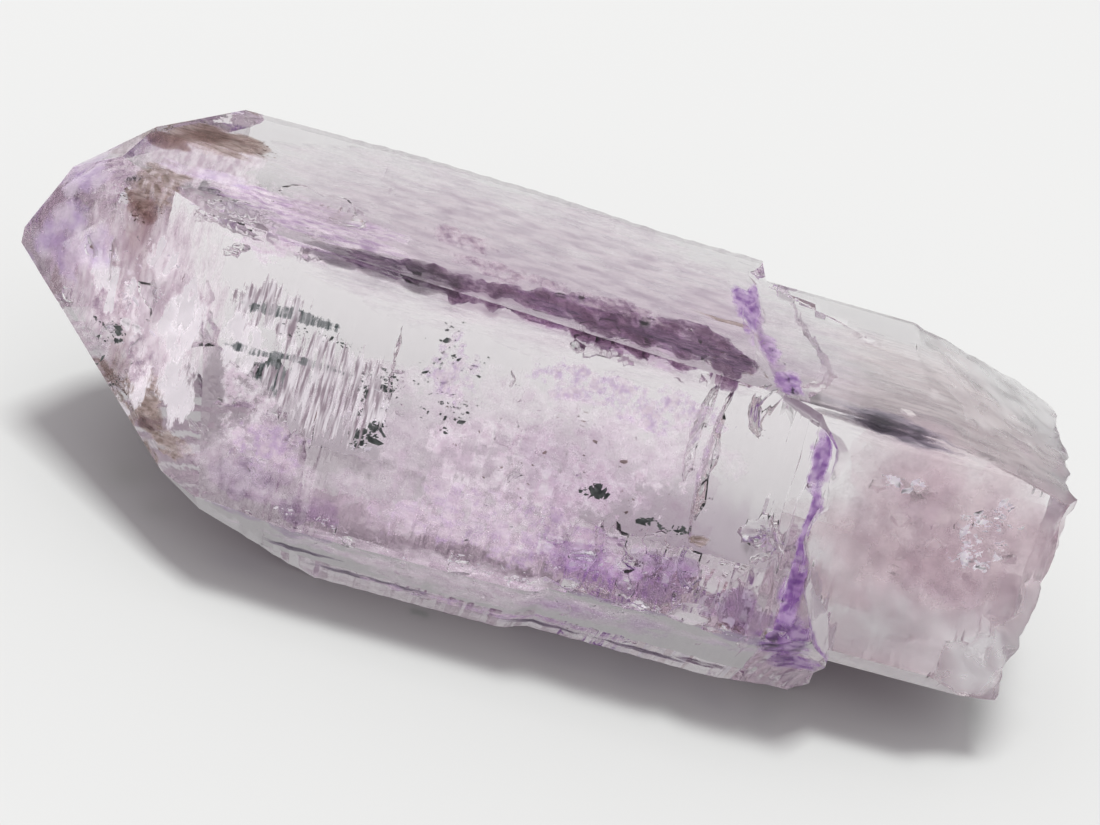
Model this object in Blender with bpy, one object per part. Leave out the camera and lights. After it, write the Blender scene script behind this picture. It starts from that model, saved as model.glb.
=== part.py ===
"""An amethyst crystal of sceptre habit, lying on one of its side faces.

Metres, +Z up. The long axis runs along X: the point is at -X and the broken stem at +X.
A wide six-sided head, ended by a rough rim, has grown over a thinner six-sided stem.
The origin is the bottom centre of the bounding box.
"""

import math
import random

import bmesh
import bpy
import numpy as np
from mathutils import Matrix, Vector, noise

MM = 0.001
SEED = 31

# A face is (turn, tilt, distance): its turn about the long axis from straight up towards the
# front (-Y), its tilt away from the tip direction, both in degrees, and its distance in
# millimetres from the axis point, which stays at the origin while the crystal is cut.
HEAD_SIDES = {
    "top": (-0.7, 90.6, 7.26),
    "front": (59.8, 87.7, 6.78),
    "low_front": (117.9, 89.7, 9.17),
    "base": (180.0, 90.0, 7.45),
    "low_back": (240.0, 90.0, 6.72),
    "back": (299.9, 90.2, 9.50),
}
POINT_FACES = {
    "front": (66.0, 62.6, 12.39),
    "top": (-8.1, 56.2, 17.58),
    "low_front": (122.0, 63.0, 14.20),
    "base": (174.1, 59.0, 11.04),
    "low_back": (240.0, 54.0, 15.30),
    "back": (292.1, 42.5, 18.49),
}
STEM_SIDES = {
    "top": (0.0, 90.0, 6.30),
    "front": (60.0, 90.0, 5.56),
    "low_front": (120.0, 90.0, 8.26),
    "base": (180.0, 90.0, 4.00),
    "low_back": (240.0, 90.0, 5.10),
    "back": (300.0, 90.0, 8.78),
}

# Places along the long axis, in millimetres from the axis point
TIP_BLUNT_X = -24.45
STEM_START_X = -2.0
HEAD_BLOCK_END_X = 19.5
STEM_END_X = 24.45
BLOCK_HALF = 40.0

# Growth swellings of a head side: (place along the axis, height over the flat face)
SWELLINGS = {
    "low_front": ((-13.0, 0.0), (-9.5, 0.40), (1.0, 0.42), (2.0, -0.05), (11.0, 0.0), (15.0, -0.55)),
    "back": ((-15.0, 0.0), (-9.0, 0.42), (-2.0, 0.35), (4.0, 0.0), (9.0, 0.10)),
    "low_back": ((-12.0, 0.0), (-6.0, 0.25), (3.0, 0.30), (4.0, -0.10), (10.0, 0.0)),
}
# How firmly the base, which the crystal rests on, stays flat where a swelling meets it
REST_WEIGHT = 100.0
# Striations: shallow cross grooves on the head's sides, none on the base that it rests on
GROOVE_PITCH = 0.95
GROOVE_FROM_X = -12.0
GROOVE_TO_X = 14.0
GROOVE_DEPTHS = {"top": 0.03, "front": 0.07, "low_front": 0.05, "low_back": 0.08, "back": 0.06}

# The head's rim: (turn about the axis, place along it), closed at 360 degrees
RIM = (
    (-38.0, 7.7), (-18.0, 7.8), (-8.0, 7.4), (6.0, 7.8), (27.0, 8.3), (31.0, 11.1), (39.0, 12.4),
    (60.0, 12.5), (73.0, 12.3), (86.0, 12.9), (95.0, 13.3), (101.0, 14.1), (111.0, 15.0),
    (119.0, 15.3), (130.0, 14.9), (180.0, 13.8), (220.0, 12.4), (250.0, 13.2), (280.0, 11.0),
    (300.0, 9.4), (322.0, 7.7),
)
RIM_SECTORS = 90
RIM_RINGS = 9
RIM_INNER_RADIUS = 1.5
RIM_OUTER_RADIUS = 15.0
RIM_JAG = 0.35
RIM_ROUGHNESS = 0.3
# How far the rim's end face runs on along the axis for each millimetre nearer to the axis
TOP_RAMP = 1.5
SIDE_RAMP = 0.25
RAMP_DEPTH = 2.5

# Broken end of the stem: grid step and roughness of the three fracture surfaces
BREAK_STEP = 0.62
BREAK_ROUGHNESS = 0.42
BREAK_RIPPLE = 0.16
RIPPLE_LENGTH = 2.3
# How much further the stem reaches at its back, for each millimetre of depth
END_SLANT = 0.15
# The chip that slopes off the top of the stem: where it starts, how steeply it falls towards the
# end, and how much steeper for each millimetre further back
CHIP_START_X = 16.0
CHIP_FALL = 0.16
CHIP_TWIST = 0.019
# Three points on the chip at the stem's lower front corner
CORNER_CHIP = ((20.4, -7.2, -1.3), (23.0, -5.6, 1.4), (22.7, -7.2, -4.0))
TOP_CHIP_SIDE = 24.0
CORNER_CHIP_SIDE = 15.0

# Chips along the head's lower front edge and pits in the stem: (place, turn, size)
EDGE_CHIPS = (
    (-11.2, 106.0, 0.34), (-7.6, 105.0, 0.28), (-6.8, 108.0, 0.22), (-1.9, 104.5, 0.42),
    (1.9, 104.0, 0.75), (3.1, 102.0, 0.40), (5.9, 103.5, 0.34), (8.3, 101.0, 0.62),
    (9.6, 104.0, 0.38), (12.3, 101.5, 0.45), (-3.0, 131.0, 0.30), (6.5, 130.0, 0.40),
)
STEM_PITS = (
    (15.2, 46.0, 0.34), (16.4, 58.0, 0.42), (17.5, 44.0, 0.30), (18.3, 66.0, 0.46),
    (19.2, 53.0, 0.38), (20.0, 74.0, 0.36), (20.8, 48.0, 0.44), (21.6, 62.0, 0.34),
    (17.0, 80.0, 0.30), (15.8, 12.0, 0.30), (14.2, 330.0, 0.36), (17.8, 210.0, 0.50),
)

COLOUR = (0.80, 0.74, 0.86, 1.0)
ROUGHNESS = 0.06


def face_normal(turn, tilt):
    """The outward normal of a face, from its turn and tilt in degrees."""
    turn, tilt = math.radians(turn), math.radians(tilt)
    return Vector(
        (-math.cos(tilt), -math.sin(tilt) * math.sin(turn), math.sin(tilt) * math.cos(turn))
    )


def radial(turn):
    """The unit vector that points away from the long axis at this turn."""
    return face_normal(turn, 90.0)


def cut(bm, normal, distance):
    """Removes what lies beyond the plane and closes the cut."""
    geometry = bm.verts[:] + bm.edges[:] + bm.faces[:]
    done = bmesh.ops.bisect_plane(
        bm,
        geom=geometry,
        dist=1e-7,
        plane_co=normal * distance * MM,
        plane_no=normal,
        clear_outer=True,
    )
    edges = [e for e in done["geom_cut"] if isinstance(e, bmesh.types.BMEdge)]
    bmesh.ops.edgeloop_fill(bm, edges=edges)


def block():
    """A cube that every crystal face is cut from."""
    bm = bmesh.new()
    bmesh.ops.create_cube(bm, size=2 * BLOCK_HALF * MM)
    return bm


def cut_faces(bm, faces):
    for turn, tilt, distance in faces.values():
        cut(bm, face_normal(turn, tilt), distance)


def groove_places():
    """Uneven places along the axis where a groove starts, turns and ends."""
    rng = random.Random(SEED)
    places = []
    x = GROOVE_FROM_X
    while x < GROOVE_TO_X:
        places.append(x)
        x += GROOVE_PITCH * rng.uniform(0.35, 0.85)
    return places


def relief(side, x, places):
    """Height of a head side over its flat face at this place along the axis, in millimetres."""
    swelling = SWELLINGS.get(side)
    height = np.interp(x, *zip(*swelling)) if swelling else 0.0
    depth = GROOVE_DEPTHS.get(side, 0.0)
    nearest = int(np.argmin([abs(x - place) for place in places]))
    in_groove = nearest % 2 == 1 and abs(x - places[nearest]) < 1e-4
    if depth and in_groove:
        height -= depth * (0.5 + 0.5 * math.sin(1.7 * nearest + 2.0 * len(side)) ** 2)
    return height


def striate(bm):
    """Rings of edges round the head, moved along the normals of the sides that they lie on."""
    places = groove_places()
    for x in places:
        bmesh.ops.bisect_plane(
            bm,
            geom=bm.verts[:] + bm.edges[:] + bm.faces[:],
            dist=1e-7,
            plane_co=(x * MM, 0.0, 0.0),
            plane_no=(1.0, 0.0, 0.0),
        )
    planes = [(s, face_normal(t, a), d, True) for s, (t, a, d) in HEAD_SIDES.items()]
    planes += [(s, face_normal(t, a), d, False) for s, (t, a, d) in POINT_FACES.items()]
    for vert in bm.verts:
        x = vert.co.x / MM
        rows, heights = [], []
        for side, normal, distance, is_side in planes:
            if abs(normal.dot(vert.co) / MM - distance) < 1e-3:
                weight = REST_WEIGHT if side == "base" else 1.0
                rows.append(normal * weight)
                heights.append(relief(side, x, places) if is_side else 0.0)
        if any(heights):
            move = np.linalg.lstsq(np.array(rows), np.array(heights), rcond=None)[0]
            vert.co += Vector(move) * MM


def rim_place(turn):
    """Place of the rim along the axis at this turn, with its small jags."""
    turns, places = zip(*RIM)
    smooth = np.interp((turn + 38.0) % 360.0 - 38.0, turns, places)
    angle = math.radians(turn)
    spot = Vector((4.1 * math.cos(angle), 4.1 * math.sin(angle), 0.7))
    return smooth + RIM_JAG * (noise.noise(spot * 1.9) + 0.5 * noise.noise(spot * 5.3))


def side_radius(turn, sides):
    """Distance from the axis to the outside at this turn, where only the side faces count."""
    reach = []
    for face_turn, _, distance in sides.values():
        slant = math.cos(math.radians(turn - face_turn))
        if slant > 0.05:
            reach.append(distance / slant)
    return min(reach)


def rim_cutter():
    """A thick ring beyond the rim's end face, which trims the head."""
    bm = bmesh.new()
    bmesh.ops.create_grid(bm, x_segments=RIM_SECTORS, y_segments=RIM_RINGS, size=0.5)
    for vert in bm.verts:
        turn = 360.0 * (vert.co.x + 0.5)
        share = vert.co.y + 0.5
        radius = RIM_INNER_RADIUS + share * (RIM_OUTER_RADIUS - RIM_INNER_RADIUS)
        depth = max(0.0, side_radius(turn, HEAD_SIDES) - radius)
        on_top = max(0.0, math.cos(math.radians(turn)) - 0.5) * 2.0
        ramp = SIDE_RAMP + (TOP_RAMP - SIDE_RAMP) * on_top
        spot = radial(turn) * radius
        x = rim_place(turn) + ramp * min(depth, RAMP_DEPTH) + RIM_ROUGHNESS * noise.noise(spot * 0.9)
        vert.co = Vector((x, spot.y, spot.z)) * MM
    bmesh.ops.remove_doubles(bm, verts=bm.verts, dist=1e-6)
    grown = bmesh.ops.extrude_face_region(bm, geom=bm.faces[:])
    moved = [v for v in grown["geom"] if isinstance(v, bmesh.types.BMVert)]
    bmesh.ops.translate(bm, vec=(BLOCK_HALF * MM, 0.0, 0.0), verts=moved)
    return bm


def fracture(place, frame, side):
    """A slab whose near side is a rippled break: height over the frame's plane from place(u, v)."""
    bm = bmesh.new()
    segments = int(side / BREAK_STEP)
    bmesh.ops.create_grid(bm, x_segments=segments, y_segments=segments, size=0.5 * side)
    for vert in bm.verts:
        vert.co.z = place(vert.co.x, vert.co.y)
    grown = bmesh.ops.extrude_face_region(bm, geom=bm.faces[:])
    moved = [v for v in grown["geom"] if isinstance(v, bmesh.types.BMVert)]
    bmesh.ops.translate(bm, vec=(0.0, 0.0, BLOCK_HALF), verts=moved)
    bmesh.ops.transform(bm, matrix=Matrix.Scale(MM, 4) @ frame, verts=bm.verts)
    return bm


def rough(u, v, phase):
    """Conchoidal ripples and finer roughness, in millimetres."""
    reach = math.hypot(u + 5.0, v - 6.0)
    ripple = BREAK_RIPPLE * math.sin(2.0 * math.pi * reach / RIPPLE_LENGTH)
    spot = Vector((u, v, phase))
    grain = noise.noise(spot * 0.55) + 0.5 * noise.noise(spot * 1.4) + 0.25 * noise.noise(spot * 3.1)
    return ripple + BREAK_ROUGHNESS * grain


def frame_at(origin, normal, along):
    """A frame whose z is the normal and whose x lies nearest to along."""
    z = normal.normalized()
    x = (along - z * along.dot(z)).normalized()
    y = z.cross(x)
    rotation = Matrix((x, y, z)).transposed().to_4x4()
    return Matrix.Translation(origin) @ rotation


def end_break():
    """The break across the stem, square to the axis but for its hollows."""
    frame = frame_at(Vector((STEM_END_X, 0.0, 0.0)), Vector((1, 0, 0)), Vector((0, 1, 0)))
    return fracture(lambda u, v: rough(u, v, 0.0) + END_SLANT * u - 0.03 * v, frame, 30.0)


def top_chip():
    """The break that slopes down from the stem's top side towards its end and its back."""
    frame = frame_at(Vector((CHIP_START_X, 0.0, 6.30)), Vector((0, 0, 1)), Vector((1, 0, 0)))

    def place(u, v):
        fall = CHIP_FALL + CHIP_TWIST * min(max(v + 4.0, 0.0), 12.0)
        return 0.25 - fall * u + 0.35 * rough(u, v, 4.0)

    return fracture(place, frame, TOP_CHIP_SIDE)


def corner_chip():
    """The break that takes off the stem's lower front corner."""
    a, b, c = (Vector(p) for p in CORNER_CHIP)
    normal = (b - a).cross(c - a)
    if normal.x < 0.0:
        normal.negate()
    frame = frame_at((a + b + c) / 3.0, normal, Vector((0, 0, 1)))
    return fracture(lambda u, v: 0.6 * rough(u, v, 9.0), frame, CORNER_CHIP_SIDE)


def notches(rows, sides, slant):
    """Small four-sided points that bite into the sides, each at a place and a turn."""
    rng = random.Random(SEED)
    bm = bmesh.new()
    for x, turn, size in rows:
        out = radial(turn)
        centre = Vector((x, 0.0, 0.0)) + out * (side_radius(turn, sides) + 0.55 * size)
        spin = Matrix.Rotation(rng.uniform(0.0, math.pi), 4, "X")
        lean = Matrix.Rotation(rng.uniform(-slant, slant), 4, "Y")
        stretch = Matrix.Diagonal((1.9 * size, 1.1 * size, size, 1.0))
        turned = frame_at(centre, out, Vector((1, 0, 0))) @ lean @ stretch @ spin
        bmesh.ops.create_icosphere(
            bm, subdivisions=1, radius=1.0, matrix=Matrix.Scale(MM, 4) @ turned
        )
    return bm


def new_object(name, bm, collection):
    bmesh.ops.recalc_face_normals(bm, faces=bm.faces)
    mesh = bpy.data.meshes.new(name)
    bm.to_mesh(mesh)
    bm.free()
    obj = bpy.data.objects.new(name, mesh)
    collection.objects.link(obj)
    return obj


def new_cutter(name, bm, collection):
    obj = new_object(name, bm, collection)
    obj.hide_render = True
    obj.display_type = "WIRE"
    return obj


def add_boolean(obj, other, operation):
    modifier = obj.modifiers.new(other.name, "BOOLEAN")
    modifier.object = other
    modifier.operation = operation
    modifier.solver = "EXACT"
    modifier.use_self = True


def new_collection(name):
    collection = bpy.data.collections.new(name)
    bpy.context.scene.collection.children.link(collection)
    return collection


def crystal_material():
    material = bpy.data.materials.new("amethyst")
    material.use_nodes = True
    shader = material.node_tree.nodes["Principled BSDF"]
    shader.inputs["Base Color"].default_value = COLOUR
    shader.inputs["Roughness"].default_value = ROUGHNESS
    shader.inputs["Metallic"].default_value = 0.0
    shader.inputs["IOR"].default_value = 1.544
    shader.inputs["Transmission Weight"].default_value = 1.0
    return material


def head_mesh():
    bm = block()
    cut_faces(bm, HEAD_SIDES)
    cut_faces(bm, POINT_FACES)
    cut(bm, Vector((-1, 0, 0)), -TIP_BLUNT_X)
    cut(bm, Vector((1, 0, 0)), HEAD_BLOCK_END_X)
    striate(bm)
    return bm


def stem_mesh():
    bm = block()
    cut_faces(bm, STEM_SIDES)
    cut(bm, Vector((-1, 0, 0)), -STEM_START_X)
    return bm


def piece_from(seed):
    """The faces joined to this one."""
    found, waiting = {seed}, [seed]
    while waiting:
        for edge in waiting.pop().edges:
            for face in edge.link_faces:
                if face not in found:
                    found.add(face)
                    waiting.append(face)
    return found


def drop_crumbs(mesh):
    """Keeps the largest piece only, so that no splinter of a break hangs in the air."""
    bm = bmesh.new()
    bm.from_mesh(mesh)
    left, largest = set(bm.faces), set()
    while left:
        piece = piece_from(next(iter(left)))
        left -= piece
        largest = max(largest, piece, key=len)
    crumbs = [face for face in bm.faces if face not in largest]
    bmesh.ops.delete(bm, geom=crumbs, context="FACES")
    bm.to_mesh(mesh)
    bm.free()


def stand_on_origin(obj):
    """Moves the finished crystal so that the origin is the bottom centre of its box."""
    graph = bpy.context.evaluated_depsgraph_get()
    mesh = bpy.data.meshes.new_from_object(obj.evaluated_get(graph))
    drop_crumbs(mesh)
    obj.modifiers.clear()
    obj.data = mesh
    points = np.array([v.co for v in mesh.vertices])
    low, high = points.min(axis=0), points.max(axis=0)
    middle = (low + high) / 2.0
    mesh.transform(Matrix.Translation((-middle[0], -middle[1], -low[2])))


def main():
    for old in list(bpy.data.objects):
        bpy.data.objects.remove(old, do_unlink=True)
    parts = new_collection("amethyst_crystal")
    cutters = new_collection("cutters")

    stem = new_cutter("stem", stem_mesh(), cutters)
    for name, bm in (
        ("end_break", end_break()),
        ("top_chip", top_chip()),
        ("corner_chip", corner_chip()),
        ("stem_pits", notches(STEM_PITS, STEM_SIDES, 0.5)),
    ):
        add_boolean(stem, new_cutter(name, bm, cutters), "DIFFERENCE")

    crystal = new_object("amethyst_crystal", head_mesh(), parts)
    add_boolean(crystal, new_cutter("rim_cutter", rim_cutter(), cutters), "DIFFERENCE")
    chips = notches(EDGE_CHIPS, HEAD_SIDES, 0.3)
    add_boolean(crystal, new_cutter("edge_chips", chips, cutters), "DIFFERENCE")
    add_boolean(crystal, stem, "UNION")
    stand_on_origin(crystal)
    crystal.data.materials.clear()
    crystal.data.materials.append(crystal_material())


main()
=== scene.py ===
"""The look of the amethyst crystal: its clear skin, what lies inside it, floor, light and camera.

Metres, +Z up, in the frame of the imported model. Sizes below are in millimetres, and places inside
the crystal are counted from its axis point, from which its faces are cut.
"""

import math
import random

import bmesh
import bpy
import numpy as np
from mathutils import Matrix, Vector, noise
from mathutils.bvhtree import BVHTree


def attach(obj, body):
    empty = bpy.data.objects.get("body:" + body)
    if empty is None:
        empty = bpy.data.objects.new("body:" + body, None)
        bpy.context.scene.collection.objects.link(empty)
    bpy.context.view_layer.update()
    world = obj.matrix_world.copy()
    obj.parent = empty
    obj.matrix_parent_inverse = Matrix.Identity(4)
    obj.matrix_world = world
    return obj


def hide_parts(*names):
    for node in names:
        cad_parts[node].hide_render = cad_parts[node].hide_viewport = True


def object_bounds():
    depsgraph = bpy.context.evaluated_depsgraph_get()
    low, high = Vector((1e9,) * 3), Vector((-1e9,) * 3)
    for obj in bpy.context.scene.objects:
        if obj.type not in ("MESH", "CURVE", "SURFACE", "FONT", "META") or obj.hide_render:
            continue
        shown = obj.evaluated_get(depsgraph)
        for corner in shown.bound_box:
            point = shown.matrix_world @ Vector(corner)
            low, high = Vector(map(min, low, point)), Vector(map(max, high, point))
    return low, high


MM = 0.001

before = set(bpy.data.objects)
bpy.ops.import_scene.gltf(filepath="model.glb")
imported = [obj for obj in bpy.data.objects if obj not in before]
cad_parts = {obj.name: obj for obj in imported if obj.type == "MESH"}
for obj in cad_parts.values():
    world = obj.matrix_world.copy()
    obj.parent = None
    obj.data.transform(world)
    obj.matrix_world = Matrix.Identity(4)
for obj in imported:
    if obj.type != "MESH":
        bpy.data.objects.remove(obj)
cad_low, cad_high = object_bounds()

# The axis point: the tip lies this far along -X from it, and the base this far below it
TIP_REACH = 24.45
BASE_DEPTH = 7.45
AXIS_Y = -0.145
AXIS = Vector((cad_low[0] / MM + TIP_REACH, AXIS_Y, BASE_DEPTH))

# Camera: it looks at a point near the axis point, and is turned about its own view line
CAMERA_AIM = Vector((0.6, 0.0, 0.1))
CAMERA_AZIMUTH = 5.74
CAMERA_ELEVATION = 35.82
CAMERA_ROLL = 18.66
CAMERA_DISTANCE = 84.14
CAMERA_LENS = 58.91
SENSOR_WIDTH = 36.0

QUARTZ_IOR = 1.544
QUARTZ_FACE = (0.99, 0.985, 0.99)
QUARTZ_COLOUR = (0.62, 0.46, 0.56)
QUARTZ_DENSITY = 16.0

HORIZON_LIGHT = 0.40
ZENITH_LIGHT = 0.66
LAMP_PLACE = (-0.12, 0.12, 1.2)
LAMP_SIZE = 0.28
LAMP_POWER = 9.2
FLOOR_HALF = 0.9
FLOOR_GAP = 0.01
FLOOR_COLOUR = (0.74, 0.74, 0.735)


def at(x, y, z):
    """A point of the frame, in metres, from a place counted from the axis point in millimetres."""
    return (AXIS + Vector((x, y, z))) * MM


def link(name, mesh):
    obj = bpy.data.objects.new(name, mesh)
    bpy.context.scene.collection.objects.link(obj)
    return obj


def new_material(name):
    material = bpy.data.materials.new(name)
    material.use_nodes = True
    return material, material.node_tree, material.node_tree.nodes["Principled BSDF"]


def add_node(tree, kind, **settings):
    node = tree.nodes.new(kind)
    for key, value in settings.items():
        setattr(node, key, value)
    return node


def colour_mix(tree, factor, first, second):
    """A blend of two colours, each given as numbers or taken from another node's output."""
    mix = add_node(tree, "ShaderNodeMix", data_type="RGBA")
    tree.links.new(factor, mix.inputs["Factor"])
    for side, colour in (("A", first), ("B", second)):
        if isinstance(colour, tuple):
            mix.inputs[side].default_value = (*colour, 1.0)
        else:
            tree.links.new(colour, mix.inputs[side])
    return mix.outputs["Result"]


def attribute(tree, name):
    return add_node(tree, "ShaderNodeAttribute", attribute_name=name).outputs["Fac"]


def let_lamps_through(tree, shader, tint):
    """Lamp light passes straight through this surface and is only tinted."""
    mix = add_node(tree, "ShaderNodeMixShader")
    path = add_node(tree, "ShaderNodeLightPath")
    clear = add_node(tree, "ShaderNodeBsdfTransparent")
    if isinstance(tint, tuple):
        clear.inputs["Color"].default_value = (*tint, 1.0)
    else:
        tree.links.new(tint, clear.inputs["Color"])
    tree.links.new(path.outputs["Is Shadow Ray"], mix.inputs["Fac"])
    tree.links.new(shader.outputs["BSDF"], mix.inputs[1])
    tree.links.new(clear.outputs["BSDF"], mix.inputs[2])
    tree.links.new(mix.outputs["Shader"], tree.nodes["Material Output"].inputs["Surface"])


def absorb(tree, colour, density):
    volume = add_node(tree, "ShaderNodeVolumeAbsorption")
    volume.inputs["Color"].default_value = (*colour, 1.0)
    volume.inputs["Density"].default_value = density
    tree.links.new(volume.outputs["Volume"], tree.nodes["Material Output"].inputs["Volume"])


# The skin

# Sides: turn from straight up towards the front, distance from the axis of the head's side and of
# the stem's side, and how deep its striations are
SIDES = {
    "top": (0.0, 7.26, 6.30, 0.008),
    "front": (60.0, 6.78, 5.56, 0.024),
    "low_front": (120.0, 9.17, 8.26, 0.006),
    "base": (180.0, 7.45, 4.00, 0.006),
    "low_back": (240.0, 6.72, 5.10, 0.014),
    "back": (300.0, 9.50, 8.78, 0.014),
}
SIDE_NAMES = list(SIDES)
# Kinds of face: a side has its own number, a point face that of the side it ends plus ten, and
# every break has the same
POINT_KIND = 10
ROUGH_KIND = 20
# A face belongs to a side if it leans no more than this along the crystal, faces the same way and
# lies at the head's or the stem's distance
SIDE_LEAN = 0.35
SAME_WAY = 0.985
HEAD_SLACK = 0.75
STEM_SLACK = 0.3
# Where the sides are cut into rings, the point into slices and both into strips, and how finely
RING_FROM_X = -16.0
SKIN_TO_X = 25.0
RING_STEP = 0.10
SKIN_FROM_X = -24.0
POINT_TO_X = -9.0
TIP_STEP = 0.45
STRIP_REACH = 11.5
STRIP_STEP = 0.8
# Edges of a break are halved when they are longer than this
ROUGH_EDGE = 0.36
# Points nearer than this are one, points nearer a cut than this lie on it, and faces that meet at
# less than this angle are one
MERGE_REACH = 0.004
CUT_REACH = 0.002
FLAT_ANGLE = math.radians(0.3)
# Faces that meet at more than this angle have an edge, and those of a break at more than this
CREASE = math.radians(14.0)
ROUGH_CREASE = math.radians(38.0)
# How high the skin's relief is: waves of the sides and the point, grain, and rings of the breaks,
# about this centre, and how far a point moves at most
SIDE_WAVE = 0.010
POINT_WAVE = 0.012
POINT_GRAIN = 0.004
BREAK_GRAIN = 0.035
BREAK_RINGS = 0.02
BREAK_CENTRE = Vector((22.0, -9.0, 4.0))
MOST_LIFT = 0.12
# Where the stem starts, how matt the skin is on the stem's sides, on its broken end and on the
# head's rim, between which shares of that it varies, and how fine the matt patches and bumps are
STEM_FROM_X = 15.4
STEM_FROST = 0.14
END_FROST = 0.36
RIM_FROST = 0.10
LEAST_FROST = 0.55
MOST_FROST = 1.25
FROST_GRAIN = 900.0
BUMP_GRAIN = 2600.0
BUMP_HEIGHT = 0.01
# What lamp light keeps where the straight line from a lit spot to the lamp enters the head from
# below, where it enters another face, and where it leaves
BELOW_TINT = (0.78, 0.74, 0.78)
AHEAD_TINT = (0.105, 0.075, 0.095)
LEAVING_TINT = (1.05, 1.0, 1.05)


def radial(turn):
    """The unit vector away from the long axis at this turn, in degrees."""
    turn = math.radians(turn)
    return Vector((0.0, -math.sin(turn), math.cos(turn)))


def local(co):
    """A point in millimetres from the axis point."""
    return co / MM - AXIS


def frame_of(place, turn, spin=0.0, pitch=0.0, roll=0.0):
    """The frame of a patch inside: its z points out of a side, and its x runs along the crystal."""
    z = radial(turn)
    x = Vector((1.0, 0.0, 0.0))
    turned = Matrix((x, z.cross(x), z)).transposed().to_4x4()
    for angle, axis in ((spin, "Z"), (pitch, "Y"), (roll, "X")):
        turned = turned @ Matrix.Rotation(math.radians(angle), 4, axis)
    return Matrix.Translation(place) @ turned


def kind_of(normal, centre):
    """The number of the side, point face or break that a face of the crystal belongs to."""
    if abs(normal.x) < SIDE_LEAN:
        flat = Vector((0.0, normal.y, normal.z)).normalized()
        for number, (turn, head, stem, _) in enumerate(SIDES.values()):
            if flat.dot(radial(turn)) > SAME_WAY:
                reach = centre.dot(radial(turn))
                if abs(reach - head) < HEAD_SLACK or abs(reach - stem) < STEM_SLACK:
                    return number
    if normal.x < -SIDE_LEAN:
        return POINT_KIND + round(math.degrees(math.atan2(-normal.y, normal.z)) / 60.0) % 6
    return ROUGH_KIND


def slice_faces(bm, chosen, places, normal):
    """Cuts the faces that chosen picks by kind along parallel planes, given by their distances."""
    layer = bm.faces.layers.int["kind"]
    normal = Vector(normal)
    faces = {f for f in bm.faces if chosen(f[layer])}
    for place in places:
        edges = {e for f in faces for e in f.edges}
        verts = {v for f in faces for v in f.verts}
        done = bmesh.ops.bisect_plane(
            bm,
            geom=[*faces, *edges, *verts],
            dist=CUT_REACH * MM,
            plane_co=(AXIS + normal * place) * MM,
            plane_no=normal,
        )
        faces = {g for g in done["geom"] if isinstance(g, bmesh.types.BMFace)}


def steps(start, stop, step):
    return [start + step * i for i in range(int((stop - start) / step) + 1)]


def stria(x, across, phase):
    """Fine ridges square to the long axis, from -1 to 1, which fade in and out across a side."""
    bent = x + 0.03 * math.sin(1.3 * across + phase) + 0.012 * across
    tone = noise.noise(Vector((bent * 2.9, phase, 0.07 * across)))
    fine = noise.noise(Vector((bent * 7.0, phase + 5.0, 0.16 * across)))
    mask = 0.55 + 0.9 * noise.noise(Vector((x * 0.22, across * 0.25, phase + 9.0)))
    return (1.5 * tone + 1.0 * fine) * min(max(mask, 0.12), 1.0)


def height(kind, place):
    """How far the finished skin lies over the plain crystal here, in millimetres."""
    if kind >= ROUGH_KIND:
        grain = noise.noise(place * 0.9) + 0.6 * noise.noise(place * 2.3)
        return BREAK_GRAIN * grain + BREAK_RINGS * math.sin(4.2 * (place - BREAK_CENTRE).length)
    if kind >= POINT_KIND:
        return POINT_WAVE * noise.noise(place * 0.5) + POINT_GRAIN * noise.noise(place * 1.7)
    turn, _, _, depth = SIDES[SIDE_NAMES[kind]]
    across = place.dot(radial(turn + 90.0))
    wave = SIDE_WAVE * noise.noise(Vector((place.x * 0.22, across * 0.3, 3.0 * kind)))
    return depth * stria(place.x, across, 7.3 * kind) + wave


def lift(bm):
    """Moves each vertex by the heights of all faces that meet there, so that edges stay crisp."""
    layer = bm.faces.layers.int["kind"]
    moves = {}
    for vert in bm.verts:
        place = local(vert.co)
        normals = {}
        for face in vert.link_faces:
            total = normals.setdefault(face[layer], Vector())
            total += face.normal * face.calc_area()
        rows, heights = [], []
        for kind, total in normals.items():
            if total.length > 0.0:
                rows.append(total.normalized())
                heights.append(height(kind, place))
        if len(rows) == 1:
            moves[vert] = rows[0] * heights[0]
        elif rows:
            move = np.linalg.lstsq(np.array(rows), np.array(heights), rcond=0.2)[0]
            moves[vert] = Vector(move)
    for vert, move in moves.items():
        if move.length > MOST_LIFT:
            move *= MOST_LIFT / move.length
        vert.co += move * MM


def mark_creases(bm):
    """Smooth shading that stops where faces meet at more than a small angle."""
    layer = bm.faces.layers.int["kind"]
    for face in bm.faces:
        face.smooth = True
    for edge in bm.edges:
        if len(edge.link_faces) != 2:
            edge.smooth = False
            continue
        one, other = (f[layer] for f in edge.link_faces)
        limit = ROUGH_CREASE if one == other == ROUGH_KIND else CREASE
        edge.smooth = edge.calc_face_angle(0.0) < limit


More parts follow.
